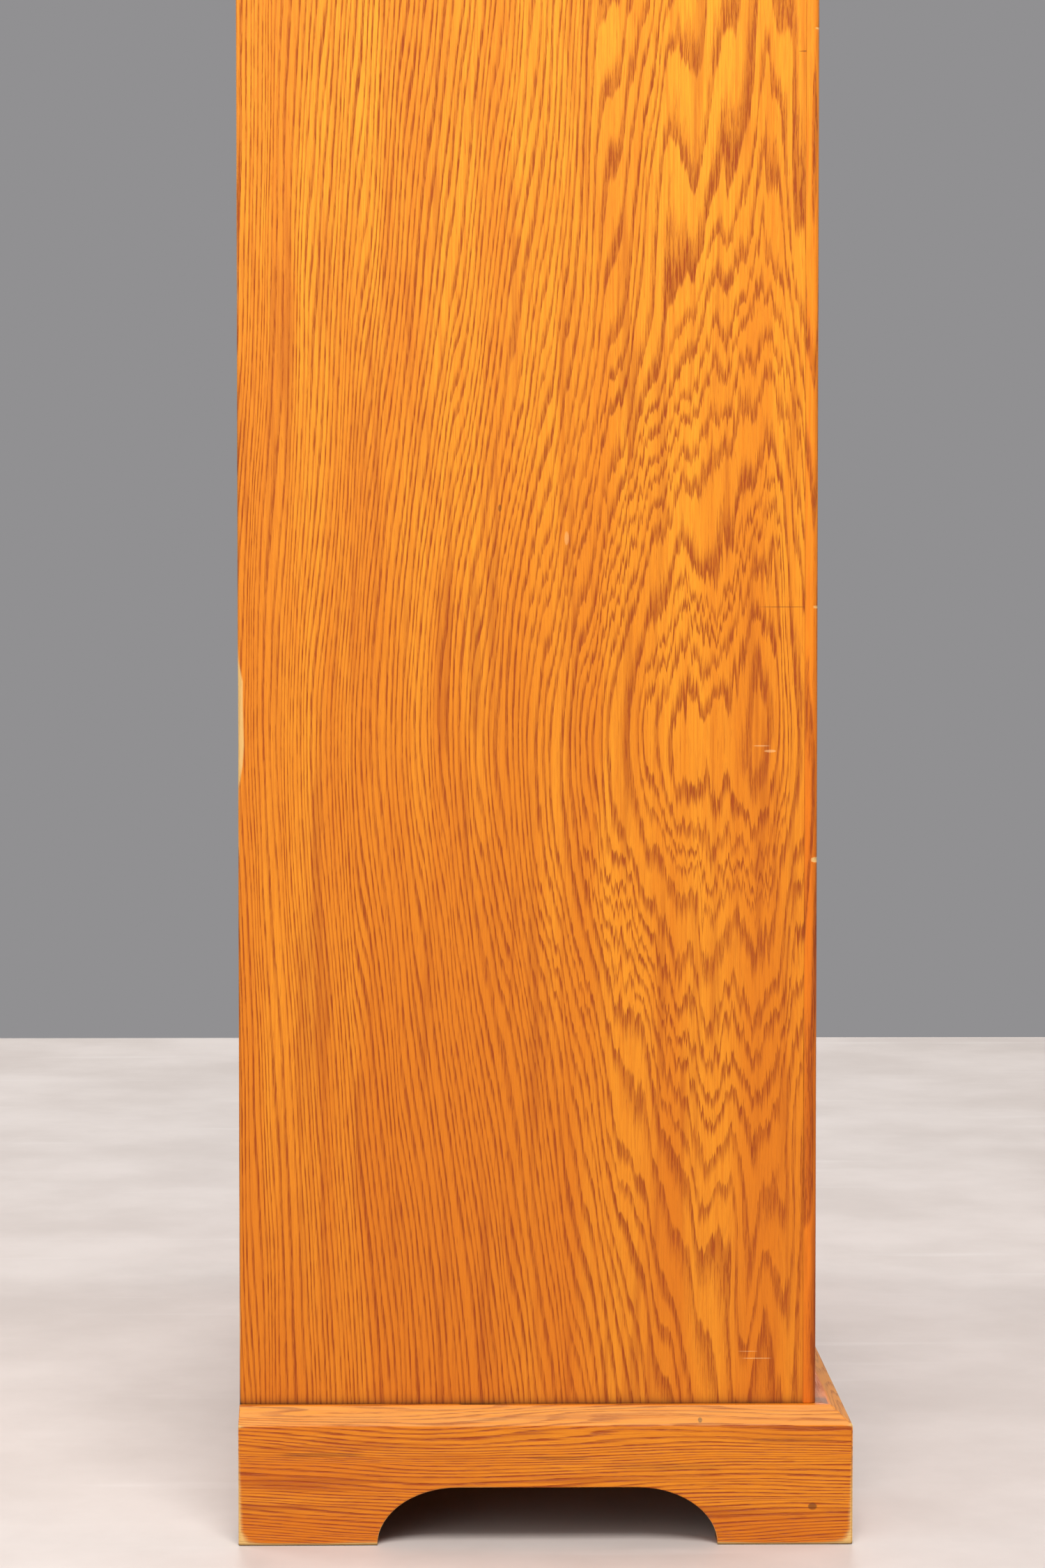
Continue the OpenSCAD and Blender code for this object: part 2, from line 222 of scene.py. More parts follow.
def oak(
    name, along, across, tones, heart=0.0, bow=(0, 300), depth=90.0, bulge=(0, 0, 150), taper=0.015,
    twins=(), ring=1.8, flames=7.0, strength=1.0, seed=0.0, repeat=None, marks=(),
):
    """Oak under varnish, its grain along one axis (0, 1 or 2) and its rings counted across another.
    The rings are cylinders round a heart line behind the face, so a ring's number is the root of
    side^2 + depth^2 over the ring's width. Away from one place on the grain the heart line bows
    aside and its depth grows by a taper, and a bulge (place, amount, length) brings it nearer
    there: depth - amount * exp(-(run / length)^2). That draws eyes with pointed arches above and
    below. A twin (across, along, amount, width, length) is a smaller peak beside the first. Noise
    drawn out along the grain adds more such flames, frays the arches into teeth near the heart
    line and lays pores and rays. Painted shade turns the wood redder and darker low down, towards
    the floor. A mark is (along, across, half length, half width, tone, share). A repeat (start,
    pitch) across the grain begins the figure anew with other noise. All in mm."""
    finish = Finish(name)
    point = finish.place()
    thick = 3 - along - across
    a, u, t = point[along], point[across], point[thick]
    if repeat:
        cell = finish.node("Math", {"operation": "FLOOR"}, {0: (u - repeat[0]) / repeat[1]})
        u = u - cell * repeat[1]
        seed = cell * 7.3 + seed
    turn, amount, length = bulge
    drift = finish.noise(a * 0.0032, u * 0.008, t * 0.008 + seed, 1) - 0.5
    jag = finish.noise(a * 0.011, u * 0.42, t * 0.42 + seed, 4, 0.65) - 0.5
    wander = finish.noise(a * 0.007 + 9, u * 0.040, t * 0.040 + seed, 2) - 0.5
    swing = finish.fall(((a - turn) / bow[1]) ** 2.0)
    fading = finish.fall(((u - heart) / ARCH_REACH) ** 2.0)
    run = a - turn + (jag * TEETH + wander * WANDER) * fading * fading
    side = u - heart + (1.0 - swing) * fading * bow[0] + drift * DRIFT
    near = finish.fall((run / length) ** 2.0)
    behind = (run ** 2.0 + 300.0) ** 0.5 * taper + depth - near * amount
    flame = finish.noise(a * 0.0045, u * 0.062, t * 0.062 + seed, 2, 0.4) - 0.5
    reach = (side ** 2.0 + behind ** 2.0) ** 0.5 + flame * flames
    for twin_across, twin_along, twin_amount, width, twin_length in twins:
        peak = ((u - twin_across) / width) ** 2.0 + ((run - twin_along + turn) / twin_length) ** 2.0
        reach = reach - finish.fall(peak) * twin_amount
    bunch = finish.noise(reach * 0.09, seed * 1.0 + 3.0, 0.0, 2) - 0.5
    count = reach / ring + bunch * 4.5
    year = finish.node("Math", {"operation": "FRACT"}, {0: count})
    strong = finish.noise(count * 0.7, a * 0.004, seed * 1.0 + 11.0, 1)
    porous = year.ramp(0.0, 0.1) * year.ramp(0.58, 0.2) * (strong * 1.3 + 0.35)

    dash = finish.noise(a * 0.055, u * 1.1, t * 1.1 + seed, 3, 0.65)
    pores = dash.ramp(0.47, 0.6) * (porous * 0.85 + 0.15)
    streak = finish.noise(a * 0.005, u * 0.12, t * 0.12 + seed + 2, 3, 0.6)
    fibre = finish.noise(a * 0.013, u * 0.85, t * 0.85 + seed, 4, 0.7)
    ray = finish.noise(a * 0.06 + 40, u * 1.4 + 17, t * 1.4 + seed, 1).ramp(0.68, 0.75)
    band = finish.noise(a * 0.0022, u * 0.03, t * 0.03 + seed + 5, 2)
    patch = finish.noise(a * 0.006, u * 0.016 + 3, t * 0.016 + seed, 3)

    light, middle, dark = tones
    # Painted shade: the height ramp turns the colour towards the middle tone lower down, darker near
    # the floor.
    colour = finish.mix(band.ramp(0.36, 0.64) * 0.5 + point[2].ramp(1000, -100) * 0.6, light, middle)
    colour = finish.mix(patch.ramp(0.5, 0.8) * 0.3, colour, middle)
    colour = finish.mix(fibre.ramp(0.42, 0.66) * 0.55, colour, middle)
    colour = finish.mix(streak.ramp(0.54, 0.7) * 0.36 * strength, colour, dark)
    colour = finish.mix(porous * 0.48 * strength, colour, dark)
    colour = finish.mix(pores * 0.85 * strength, colour, dark)
    colour = finish.mix(ray * 0.35, colour, dark)
    for mark_along, mark_across, half_length, half_width, tone, share in marks:
        off = ((a - mark_along) / half_length) ** 2.0 + ((u - mark_across) / half_width) ** 2.0
        colour = finish.mix((off + fibre * 0.8).ramp(1.6, 0.9) * share, colour, tone)

    wear_and_highlight = finish.node("Attribute", {"attribute_name": "wear_and_highlight"}, output="Fac")
    grime_and_shade = finish.node("Attribute", {"attribute_name": "grime_and_shade"}, output="Fac")
    worn = (wear_and_highlight + (fibre - 0.5) * 0.5 * wear_and_highlight).ramp(0.35, 0.75)
    # Paler towards bare wood where worn: real wear on arrises and chips, and a painted highlight over
    # the plinth's chamfer face.
    colour = finish.mix(worn, colour, RAW_WOOD_AND_HIGHLIGHT)
    # The grime attribute darkens towards this dark brown: real dirt on edges and joints, and painted
    # shade on the plinth's inner faces.
    colour = finish.mix(grime_and_shade * (patch * 0.8 + 0.55), colour, GRIME_AND_SHADE)
    height = 0.0 - pores * 1.0 - ray * 0.3 - porous * 0.25 + fibre * 0.15
    finish.set(
        Base_Color=colour,
        Roughness=0.36 + patch * 0.12 + pores * 0.18 + worn * 0.25,
        Normal=finish.bump(height, 0.00035, 0.55),
        Specular_IOR_Level=0.2,
    )
    return finish.material


# The light, middle and dark tone of three finishes: varnish, red varnish, and stain alone.
HONEY = ((0.85, 0.325, 0.019, 1), (0.64, 0.172, 0.008, 1), (0.33, 0.055, 0.005, 1))
REDDISH = ((0.88, 0.275, 0.014, 1), (0.66, 0.145, 0.006, 1), (0.30, 0.046, 0.004, 1))
STAINED = ((0.60, 0.27, 0.068, 1), (0.45, 0.17, 0.036, 1), (0.21, 0.065, 0.014, 1))


def ringed(along, *corners):
    """The corners of an outline as (rings, n, 2). Each is a pair of values, and a value is one
    number for all rings or one for each place along."""
    full = np.ones_like(along)
    return np.stack([np.stack([first * full, second * full], -1) for first, second in corners], 1)


def softened(corners, cut, inset=None, steps=4, support=0.0008):
    """The outline through corners, each rounded by a parabola that starts cut before it and ends
    cut after it, with one more point a little way along each flat. corners is (rings, n, 2), cut
    (rings, n), and inset moves every side of a ring inwards. Returns (rings, points, 2) and each
    point's nearness to its arris, from 0 to 1, where a corner with no cut counts as no arris."""
    before = corners - np.roll(corners, 1, 1)
    after = np.roll(corners, -1, 1) - corners
    before = before / np.maximum(np.linalg.norm(before, axis=2, keepdims=True), 1e-9)
    after = after / np.maximum(np.linalg.norm(after, axis=2, keepdims=True), 1e-9)
    if inset is not None:
        into_first = np.stack([-before[..., 1], before[..., 0]], -1)
        into_second = np.stack([-after[..., 1], after[..., 0]], -1)
        spread = np.maximum(1 + (before * after).sum(-1, keepdims=True), 0.2)
        corners = corners + (into_first + into_second) / spread * inset[:, None, None]
    length = cut[..., None, None]
    extra = np.where(cut > 0, support, 0.0)[..., None, None]
    share = np.linspace(0, 1, steps + 1)[None, None, :, None]
    point = corners[:, :, None, :]
    start = point - before[:, :, None, :] * length
    end = point + after[:, :, None, :] * length
    curve = (1 - share) ** 2 * start + 2 * share * (1 - share) * point + share**2 * end
    first = start - before[:, :, None, :] * extra
    last = end + after[:, :, None, :] * extra
    loop = np.concatenate([first, curve, last], 2)
    near = np.concatenate([[0.0], np.sin(np.linspace(0, np.pi, steps + 1)) * 0.5 + 0.5, [0.0]])
    near = near * (cut > 0)[..., None]
    rings = len(corners)
    return loop.reshape(rings, -1, 2), near.reshape(rings, -1)


def carried(run, along, outline):
    """A (rings, points, 3) grid: the outline of each ring at its place along one axis. The other
    two axes, in x, y, z order, take the outline. along is one value a ring, or one a point."""
    along = along[:, None] if along.ndim == 1 else along
    parts = [outline[..., 0], outline[..., 1]]
    parts.insert(run, np.broadcast_to(along, outline.shape[:2]))
    return np.stack(parts, -1)


def turned_out(points, faces):
    """The faces of a closed shell, reversed if it is inside out: six times the volume is the sum of
    p0 . (p1 x p2) over a fan of triangles of each face."""
    fans = [(face[0], second, third) for face in faces for second, third in zip(face[1:], face[2:])]
    first, second, third = np.moveaxis(points[np.array(fans)], 1, 0)
    inside_out = (first * np.cross(second, third)).sum() < 0
    return [face[::-1] for face in faces] if inside_out else faces


def skin(name, shells, body, material, nodes, smooth=35):
    """A piece from closed shells. Each is a grid of rings with the wear and grime of its points, which
    also carry a painted highlight and painted shade: neighbouring rings are joined, the end rings are
    capped, and what coincides is merged."""
    points, faces, start = [], [], 0
    for grid, wear_and_highlight, grime_and_shade in shells:
        rings, count = grid.shape[:2]
        index = np.arange(rings * count).reshape(rings, count)
        around = np.roll(index, -1, 1)
        quads = np.stack([index[:-1], around[:-1], around[1:], index[1:]], -1).reshape(-1, 4)
        caps = [index[0][::-1].tolist(), index[-1].tolist()]
        shell = turned_out(grid.reshape(-1, 3), quads.tolist() + caps)
        faces += [[corner + start for corner in face] for face in shell]
        points.append(grid.reshape(-1, 3))
        start += rings * count
    mesh = bpy.data.meshes.new(name)
    mesh.from_pydata(np.concatenate(points).tolist(), [], faces)
    for layer, which in (("wear_and_highlight", 1), ("grime_and_shade", 2)):
        values = [np.broadcast_to(shell[which], shell[0].shape[:2]).ravel() for shell in shells]
        data = mesh.attributes.new(layer, "FLOAT", "POINT").data
        data.foreach_set("value", np.concatenate(values).astype(np.float32))
    shape = bmesh.new()
    shape.from_mesh(mesh)
    bmesh.ops.remove_doubles(shape, verts=shape.verts, dist=2e-6)
    bmesh.ops.dissolve_degenerate(shape, dist=1e-6, edges=shape.edges)
    shape.to_mesh(mesh)
    shape.free()
    mesh.polygons.foreach_set("use_smooth", np.ones(len(mesh.polygons), bool))
    mesh.set_sharp_from_angle(angle=math.radians(smooth))
    mesh.materials.append(material)
    piece = bpy.data.objects.new(name, mesh)
    scene.collection.objects.link(piece)
    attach(piece, body)
    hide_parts(*nodes)


def hand_wear(along, seed, scale=0.05):
    """How far handling has rounded an arris at each place, from 0 to 1: four sines of unrelated
    lengths, each out of step by the seed."""
    waves = sum(
        np.sin(along / scale * f + seed * 1.7 * f + g) / (1 + 0.4 * f)
        for f, g in ((1.0, 0.3), (2.3, 1.9), (4.7, 4.1), (9.1, 2.2))
    )
    return np.clip(0.5 + 0.3 * waves, 0, 1)


def stations(low, high, step, extra=(), edge=0.001):
    """Places from low to high about step apart, with close ones at both ends and at extra."""
    count = max(2, int(round((high - low) / step)))
    ends = [low, low + 0.3 * edge, low + edge, high - edge, high - 0.3 * edge, high]
    return np.unique(np.concatenate([np.linspace(low + 2 * edge, high - 2 * edge, count), ends, extra]))


def end_inset(along, edge=0.001):
    """How far a ring stands in near either end, so that the end's arris is a quarter circle."""
    left = np.clip(np.minimum(along - along.min(), along.max() - along) / edge, 0, 1)
    return edge * (1 - np.sqrt(1 - (1 - left) ** 2))


def low_high(node):
    """The corners of a CAD node's box as two arrays."""
    low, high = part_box(node)
    return np.array(low), np.array(high)


side_low, side_high = low_high("side_left")
back_low = low_high("back_panel")[0]
GROOVE_HALF = 7.3 * MM
GROOVE_DEPTH = 9 * MM
DOORS = (1, 2, 3, 4)
stud_boxes = [low_high(f"door_{n}_pivots") for n in DOORS]
STUD_Y = (stud_boxes[0][0][1] + stud_boxes[0][1][1]) / 2
stud_heights = [(low[2] + high[2]) / 2 for low, high in stud_boxes]


def groove_front(z):
    """Where the stud groove starts at a height z, or nan outside it: the front end is a half
    circle round the stud, so y = stud - sqrt(half^2 - dz^2)."""
    off = np.min([np.abs(z - s) for s in stud_heights], axis=0)
    inside = np.sqrt(np.maximum(GROOVE_HALF**2 - off**2, 0))
    return np.where(off < GROOVE_HALF, STUD_Y - inside, np.nan)


half_shares = np.array([0.3, 0.6, 0.85, 0.97, 0.9999, 1.0002])
groove_shares = np.concatenate([-half_shares[::-1], [0], half_shares])
groove_rings = np.concatenate([s + GROOVE_HALF * groove_shares for s in stud_heights])
FLAT_PLACE = 50 * MM
SIDE_FRONT_ARRIS, SIDE_REAR_ARRIS = 0.12 * MM, 0.4 * MM
REAR_CUT, REAR_KNOCK = 0.5, 0.9
CHIP_PLACE, CHIP_LENGTH, CHIP_DEPTH = 0.470, 0.030, 2.6 * MM
FLOOR_GRIME = 2.2 * MM


def side_board(mirror):
    """A side panel's rings over its height. From the outer front corner the outline goes in along
    the front edge, back along the inside, where it sinks into a groove at each stud's height, round
    the back panel's rebate and out along the rear edge. Away from the studs the groove's corners
    lie on the flat. Only the left side has the chip."""
    low_stations = side_low[2] + np.array([1.5, 2.5, 4, 6, 9]) * MM
    z = stations(side_low[2], side_high[2], 0.012, np.concatenate([groove_rings, low_stations]), 0.0008)
    outer, inner = side_low[0], side_high[0]
    front, back = side_low[1], side_high[1]
    lap, rebate_y = back_low[:2]
    groove = groove_front(z)
    sunk = ~np.isnan(groove)
    start = np.where(sunk, np.maximum(np.nan_to_num(groove), front), front + FLAT_PLACE)
    floor_x = np.where(sunk, inner - GROOVE_DEPTH, inner)
    corners = ringed(
        z, (outer, front), (inner, front), (inner, start), (floor_x, start),
        (floor_x, rebate_y), (lap, rebate_y), (lap, back), (outer, back),
    )
    knocks = hand_wear(z, 3 + mirror)
    ragged = 0.75 + 0.25 * hand_wear(z, 8, 0.006)
    chip = np.exp(-np.abs((z - CHIP_PLACE) / CHIP_LENGTH) ** 6) * ragged * (1 - mirror)
    cut = np.zeros(corners.shape[:2])
    cut[:, 0] = SIDE_FRONT_ARRIS
    cut[:, 6] = SIDE_REAR_ARRIS
    cut[:, 7] = (REAR_CUT + REAR_KNOCK * knocks) * MM + chip * CHIP_DEPTH
    outline, near = softened(corners, cut, steps=6)
    per = outline.shape[1] // corners.shape[1]
    wear_and_highlight = np.zeros(near.shape)
    rear = slice(7 * per, 8 * per)
    wear_and_highlight[:, rear] = near[:, rear] * np.clip(0.15 + 0.45 * knocks + 2.0 * chip, 0, 1)[:, None]
    grid = carried(2, z, outline)
    if mirror:
        grid[..., 0] *= -1
    grime_and_shade = np.repeat(np.exp(-(z - z.min()) / FLOOR_GRIME)[:, None] * 0.9, near.shape[1], 1)
    grime_and_shade[:, rear] += near[:, rear] * (0.55 * (1 - knocks) * (chip < 0.1))[:, None]
    return grid, wear_and_highlight, grime_and_shade


PALE_SCRATCH = (0.86, 0.48, 0.20, 1)
DARK_MARK = (0.12, 0.030, 0.008, 1)
SIDE_MARKS = [
    (534, -136, 0.3, 16, DARK_MARK, 0.5),
    (848, -149, 0.4, 6, DARK_MARK, 0.7),
    (104, -121, 0.3, 9, PALE_SCRATCH, 0.5),
    (108, -116, 0.25, 6, PALE_SCRATCH, 0.4),
    (452, -128, 0.8, 3.5, PALE_SCRATCH, 0.5),
    (455, -123, 0.4, 5, PALE_SCRATCH, 0.4),
    (573, -12, 4.0, 1.4, PALE_SCRATCH, 0.3),
    (590, 26, 2.2, 1.0, DARK_MARK, 0.6),
]
SIDE_TWINS = [(-128, 560, 7.0, 14, 170), (-28, 850, 6.0, 15, 130), (-66, 770, 4.5, 11, 90)]
side_oak = oak(
    "oak_side", 2, 1, HONEY, heart=-92, bow=(46, 300), depth=150, bulge=(457, 14, 150), taper=0.022,
    twins=SIDE_TWINS, ring=2.2, strength=1.05, seed=1.7, marks=SIDE_MARKS,
)
for mirror, hand in ((0, "left"), (1, "right")):
    skin(f"side_board_{hand}", [side_board(mirror)], "case", side_oak, [f"side_{hand}"])


# ---- Case boards ----
# The bottom, three shelves and the carcass top, each one board whose ends are glued into the
# sides' housings. The back panel closes them, screwed on from behind.
def plank(
    low, high, run, arris=0.5 * MM, knocks=0.0, seed=0.0, step=0.02, chips=(), worn=0.5, dirt=0.0,
):
    """A board's rings along one axis, a rectangle whose arrises are softened by arris, one value or
    one for each corner going round from the lowest, and deeper by knocks where hands wore them.
    A chip is (corner, place, half length, depth). worn and dirt are the arrises' wear and grime."""
    chip_shares = np.linspace(-1.3, 1.3, 9)
    extra = [place + half * share for _, place, half, _ in chips for share in chip_shares]
    along = stations(low[run], high[run], step, extra)
    first, second = [axis for axis in range(3) if axis != run]
    corners = ringed(
        along, (low[first], low[second]), (high[first], low[second]),
        (high[first], high[second]), (low[first], high[second]),
    )
    knock = hand_wear(along, seed)
    cut = np.broadcast_to(arris, 4)[None, :] + knocks * knock[:, None] * np.ones(4)
    torn = np.zeros_like(cut)
    for corner, place, half, depth in chips:
        bite = np.exp(-np.abs((along - place) / half) ** 4)
        cut[:, corner] += bite * depth
        torn[:, corner] += bite * min(1.0, depth / MM)
    outline, near = softened(corners, cut, end_inset(along, 0.4 * MM), steps=5)
    share = np.repeat(torn, near.shape[1] // 4, 1) + (0.1 + worn * knock[:, None])
    return carried(run, along, outline), near * np.clip(share, 0, 1), near * dirt


def lumps(node):
    """The corners of each separate solid in a CAD node. Corners at one place are one point, and
    each point takes the lowest label among its neighbours until none changes."""
    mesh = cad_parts[node].data
    places = np.zeros(len(mesh.vertices) * 3)
    mesh.vertices.foreach_get("co", places)
    places = places.reshape(-1, 3)
    edges = np.zeros(len(mesh.edges) * 2, int)
    mesh.edges.foreach_get("vertices", edges)
    points, index = np.unique(np.round(places / MM, 2), axis=0, return_inverse=True)
    index = index.ravel()
    edges = index[edges].reshape(-1, 2)
    label = np.arange(len(points))
    while True:
        lowest = label.copy()
        np.minimum.at(lowest, edges[:, 0], label[edges[:, 1]])
        np.minimum.at(lowest, edges[:, 1], label[edges[:, 0]])
        if (lowest == label).all():
            break
        label = lowest
    groups = [places[label[index] == one] for one in np.unique(label)]
    return [(group.min(0), group.max(0)) for group in groups]


board_oak = oak("oak_board", 0, 1, HONEY, heart=90, depth=110, bulge=(120, 8, 160), seed=4.1)
for node in ("bottom_board", "shelf_1", "shelf_2", "shelf_3", "carcass_top"):
    skin(f"{node}_oak", [plank(*low_high(node), 0, worn=0.1)], "case", board_oak, [node])

back_oak = oak(
    "oak_back", 2, 0, STAINED, heart=-130, bow=(30, 500), depth=110, bulge=(700, 10, 220), ring=2.4,
    seed=8.3, marks=[
        (310, 200, 30, 22, (0.30, 0.16, 0.07, 1), 0.35),
        (1180, -260, 50, 12, DARK_MARK, 0.25),
    ],
)
board = plank(*low_high("back_panel"), 2)
skin("back_panel_oak", [board], "case", back_oak, ["back_panel"])


# ---- Screws ----
# Slotted countersunk wood screws: brass ones hold the back panel, steel ones the top and the
# plinth. Each slot stopped at its own angle.
def metal(name, tint, tarnish, rough):
    """Old metal: patches of tarnish, fine rubbed scratches, and a roughness that follows both."""
    finish = Finish(name)
    x, y, z = finish.place()
    cloud = finish.noise(x * 0.12, y * 0.12, z * 0.12, 4, 0.6)
    fine = finish.noise(x * 1.3, y * 0.5, z * 2.1, 3)
    dull = (cloud + (fine - 0.5) * 0.4).ramp(0.45, 0.72)
    finish.set(
        Base_Color=finish.mix(dull, tint, tarnish),
        Metallic=1.0,
        Roughness=dull * 0.25 + fine * 0.12 + rough,
        Normal=finish.bump(fine * 0.5 + cloud, 0.0001, 0.4),
    )
    return finish.material


brass = metal("brass", (0.72, 0.47, 0.16, 1), (0.36, 0.21, 0.08, 1), 0.16)
steel = metal("steel", (0.52, 0.51, 0.50, 1), (0.24, 0.17, 0.12, 1), 0.28)
HEAD_R, HEAD_DEPTH, HEAD_CROWN, HEAD_TAPER = 4 * MM, 1.6 * MM, 0.15 * MM, 0.6
SHANK_R, SHANK_START = 2 * MM, 1.5 * MM
SLOT_HALF, SLOT_DEPTH = 0.6 * MM, 0.9 * MM


def screw(head, away, length, angle):
    """A screw's two shells. The head is cut into chords across its slot, each as wide as
    2 * sqrt(R^2 - s^2) and sunk within the slot; the shank is turned and pointed. head is the
    middle of its face, away the direction it faces, angle the slot's turn."""
    steps = HEAD_R * np.sin(np.linspace(-np.pi / 2, np.pi / 2, 17))
    slot = SLOT_HALF * np.array([-1.001, -0.999, 0.999, 1.001])
    s = np.unique(np.concatenate([steps, slot]))
    half = np.sqrt(np.maximum(HEAD_R**2 - s**2, 0))
    top = np.where(np.abs(s) < SLOT_HALF, -SLOT_DEPTH, 0.0) - HEAD_CROWN * (s / HEAD_R) ** 2
    foot = HEAD_TAPER * half
    chord = ringed(s, (-half, top), (half, top), (foot, -HEAD_DEPTH), (-foot, -HEAD_DEPTH))
    cap = np.stack([np.broadcast_to(s[:, None], chord.shape[:2]), chord[..., 0], chord[..., 1]], -1)
    turn = np.linspace(0, 2 * np.pi, 16, endpoint=False)
    radius = np.array([SHANK_R, SHANK_R, 0.8 * SHANK_R, 0.02 * SHANK_R])
    down = -np.array([SHANK_START, 0.75 * length, 0.85 * length, length])
    shank = np.stack([
        radius[:, None] * np.cos(turn), radius[:, None] * np.sin(turn),
        np.broadcast_to(down[:, None], (4, 16)),
    ], -1)
    up = np.array(away, float)
    side = np.cross(up, [1, 0, 0])
    frame_x = np.cos(angle) * np.array([1, 0, 0]) + np.sin(angle) * side
    axes = np.stack([frame_x, np.cross(up, frame_x), up])
    return [(np.array(head) + part @ axes, 0, 0) for part in (cap, shank)]


def screw_set(node, away, material, slot):
    """One piece for all the screws of a CAD node, at the places of its solids."""
    shells = []
    run = int(np.argmax(np.abs(away)))
    for count, (low, high) in enumerate(lumps(node)):
        head = (low + high) / 2
        head[run] = high[run] if away[run] > 0 else low[run]
        shells += screw(head, away, (high - low)[run], 0.4 + 2.1 * count)
    skin(f"{node}_{slot}", shells, "case", material, [node])


screw_set("back_screws", (0, 1, 0), brass, "brass")
screw_set("top_screws", (0, 0, -1), steel, "steel")
screw_set("plinth_screws", (0, 0, -1), steel, "steel")


# ---- Lippings ----
# Solid strips glued on the front edges of the case, redder than the veneer. The outer arris of
# each upright one is rounded by hands and has gone dark.
lipping_oak = oak("oak_lipping", 2, 0, REDDISH, heart=-300, ring=2.2, seed=2.6)
EDGE_ROUND, FINE, GLUED = 2.5 * MM, 0.5 * MM, 0.15 * MM
LIPPING_ARRISES = ([EDGE_ROUND, FINE, FINE, GLUED], [FINE, EDGE_ROUND, GLUED, FINE])
LIPPING_CHIPS = [
    (0.390, 1.6 * MM, 0.9 * MM),
    (0.534, 1.0 * MM, 0.5 * MM),
    (0.861, 0.8 * MM, 0.5 * MM),
]
FRESH_WEAR = 0.4
for outer, hand in enumerate(("left", "right")):
    node = f"lipping_{hand}"
    grid, wear_and_highlight, grime_and_shade = plank(
        *low_high(node), 2, LIPPING_ARRISES[outer], knocks=0.5 * MM, seed=5 + outer, step=0.012,
        chips=[(outer, *chip) for chip in LIPPING_CHIPS], worn=0.12, dirt=0.3,
    )
    shell = (grid, wear_and_highlight, grime_and_shade * (wear_and_highlight < FRESH_WEAR))
    skin(f"{node}_oak", [shell], "case", lipping_oak, [node])
strip_oak = oak("oak_strip", 0, 2, REDDISH, heart=-200, ring=2.2, seed=6.4)
strips = [
    plank(low, high, 0, 0.8 * MM, knocks=0.5 * MM, seed=low[2] * 9, worn=0.35)
    for low, high in lumps("shelf_lippings")
]
skin("shelf_lippings_oak", strips, "case", strip_oak, ["shelf_lippings"])


# ---- Plinth ----
# Four boards under the case. The front and side ones are mitred, chamfered on top and cut away in
# a flat arch with elliptical ends, so that the case stands on its corners. Feet wear pale.
FOOT_FRONT, FOOT_BACK, FOOT_WIDE = 77 * MM, 79 * MM, 112 * MM
ARCH_RISE, ARCH_CURVE = 33 * MM, 46 * MM
CHAMFER_W, CHAMFER_H = 11.5 * MM, 9.5 * MM
MITRE_ZONE = 50 * MM
PLINTH_ARRISES = np.array([0.7, 0.3, 0.2, 0.5, 0.6, 0, 0]) * MM
PLINTH_KNOCK = 0.5 * MM
UPPER_ROW, LOWER_ROW = 9 * MM, 4 * MM
FACE_DEPTH = 2.0 * MM
CORNER_RUN, LOW_RISE, SCUFF_RISE, DIRT_RISE = 3 * MM, 16 * MM, 5 * MM, 1.3 * MM
CHAMFER_HIGHLIGHT = 0.49


def arch(along, start, end):
    """How high the cut-out rises at each place: rise * sqrt(1 - (1 - d / curve)^2), where d is the
    distance from its nearer end, and level in the middle."""
    share = np.clip(np.minimum(along - start, end - along) / ARCH_CURVE, 0, 1)
    return ARCH_RISE * np.sqrt(1 - (1 - share) ** 2)


def mitred(run, along, outline, depth, mitres, zone):
    """The grid of an outline carried along, where each point slides by its depth behind the outer
    face at an end with a mitre, and less and less over the zone beside it. mitres is 1 or 0 for
    the first end and for the last."""
    first = np.clip(1 - (along - along[0]) / zone, 0, 1)[:, None] * mitres[0]
    last = np.clip(1 - (along[-1] - along) / zone, 0, 1)[:, None] * mitres[1]
    return carried(run, along[:, None] + depth * (first - last), outline)


